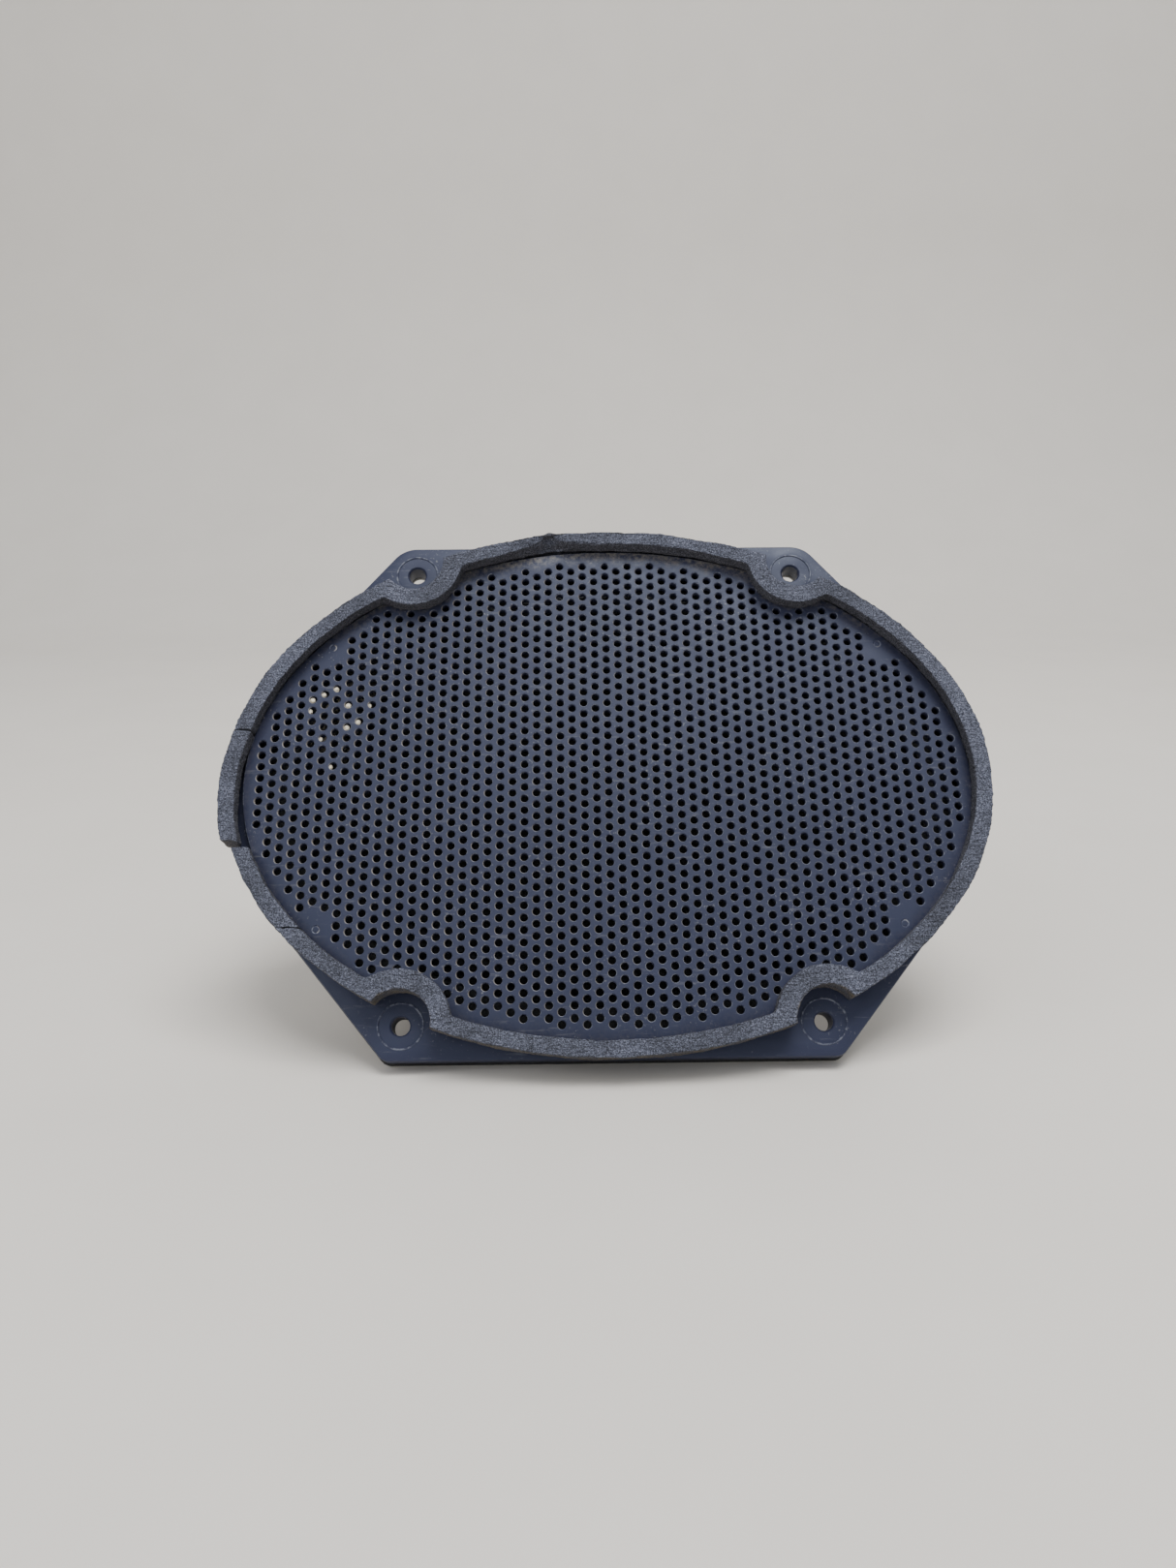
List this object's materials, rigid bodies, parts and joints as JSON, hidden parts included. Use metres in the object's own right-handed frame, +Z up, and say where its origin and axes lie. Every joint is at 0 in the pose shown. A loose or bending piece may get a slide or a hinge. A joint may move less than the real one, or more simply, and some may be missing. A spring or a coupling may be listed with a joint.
{
  "type": "oval car door speaker",
  "caption": "Oval full-range car door speaker: a moulded face plate with screw ears and a perforated grille, a foam sealing gasket, a pressed basket, an oval cone and a ring-magnet motor.",
  "frame": {"origin": "on the bench, under the middle of the speaker's bounding box, as it stands leaning back on its motor", "axes": "+X along the oval's long axis, to the right seen from the front; +Z up; the grille faces -Y and is tipped back 33.3 degrees"},
  "size_m": [0.2234, 0.1314, 0.1424],
  "materials": {
    "moulded_plastic": "satin",
    "gasket_foam": "matte",
    "surround_foam": "matte",
    "black_painted_steel": "satin",
    "cone_paper": "matte",
    "former_paper": "matte",
    "spider_cloth": "matte",
    "copper_wire": "satin",
    "plated_steel": "satin",
    "ferrite": "matte",
    "terminal_board": "matte",
    "tinned_brass": "satin"
  },
  "bodies": {
    "frame": {"face_plate": "moulded_plastic", "gasket_main": "gasket_foam", "gasket_lower_left": "gasket_foam", "gasket_patch": "gasket_foam", "basket": "black_painted_steel", "surround": "surround_foam", "spider": "spider_cloth", "top_plate": "plated_steel", "magnet": "ferrite", "yoke": "plated_steel", "motor_rivet_1": "plated_steel", "motor_rivet_2": "plated_steel", "motor_rivet_3": "plated_steel", "motor_rivet_4": "plated_steel", "terminal_strip": "terminal_board", "terminal_rivet": "plated_steel", "blade_positive": "tinned_brass", "blade_negative": "tinned_brass", "lead_positive": "copper_wire", "lead_negative": "copper_wire"},
    "cone_assembly": {"cone": "cone_paper", "dust_cap": "cone_paper", "voice_coil_former": "former_paper", "voice_coil_winding": "copper_wire", "eyelet_positive": "tinned_brass", "eyelet_negative": "tinned_brass"}
  },
  "joints": [
    {"name": "cone_travel", "type": "slide", "parent": "frame", "child": "cone_assembly", "axis": [0, -0.8355, 0.5494], "range_m": [-0.003, 0.003], "stiffness_N_per_m": 1500, "deforming": ["surround", "spider", "lead_positive", "lead_negative"]}
  ]
}
